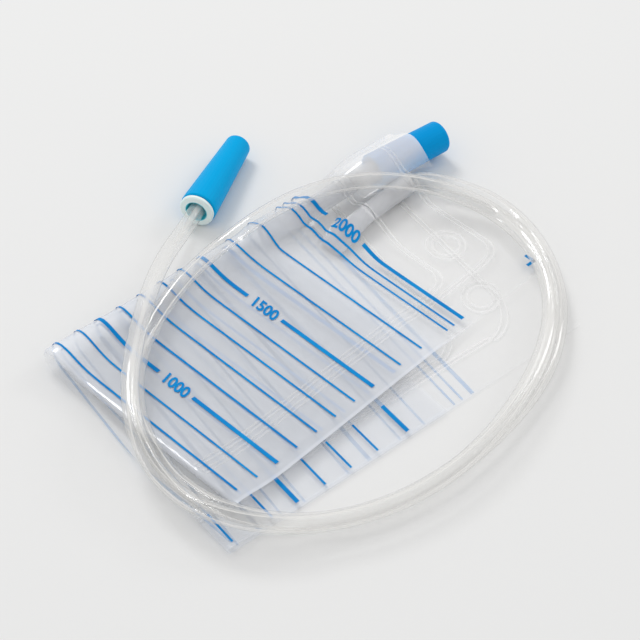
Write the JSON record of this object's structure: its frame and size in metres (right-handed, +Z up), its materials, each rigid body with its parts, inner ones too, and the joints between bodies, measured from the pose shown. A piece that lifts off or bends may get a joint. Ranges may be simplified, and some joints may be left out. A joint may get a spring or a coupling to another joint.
{
  "type": "urine drainage bag",
  "caption": "Folded clear urine drainage bag with blue scale lines, a coiled clear inlet tube ending in a capped stepped connector, and a short drain tube under a blue cap.",
  "frame": {"origin": "On the flat underside of the folded bag, near the middle of it", "axes": "+X from the lengthwise fold to the free edges, +Y along the bag to its hanging edge, +Z up off the table"},
  "size_m": [0.1782, 0.1984, 0.021],
  "materials": {
    "bag_film": "clear soft film with blue printed scale lines",
    "drain_tube_pvc": "clear soft tubing",
    "outlet_cap_blue": "satin moulded plastic",
    "inlet_port_clear": "clear moulded plastic",
    "valve_film": "thin clear film",
    "tube_pvc": "clear glossy tubing",
    "connector_mint": "smooth moulded plastic",
    "connector_cap_blue": "satin moulded plastic"
  },
  "bodies": {
    "bag_body": {"bag": "bag_film", "drain_tube": "drain_tube_pvc", "inlet_port": "inlet_port_clear", "non_return_valve": "valve_film", "tube": "tube_pvc", "connector": "connector_mint"},
    "outlet_cap_body": {"outlet_cap": "outlet_cap_blue"},
    "connector_cap_body": {"connector_cap": "connector_cap_blue"}
  },
  "joints": [
    {"name": "outlet_cap_slide", "type": "slide", "parent": "bag_body", "child": "outlet_cap_body", "axis": [0.1495, 0.9888, 0], "range_m": [0, 0.03]},
    {"name": "connector_cap_slide", "type": "slide", "parent": "bag_body", "child": "connector_cap_body", "axis": [-0.3967, 0.9168, -0.0454], "range_m": [0, 0.045]}
  ]
}
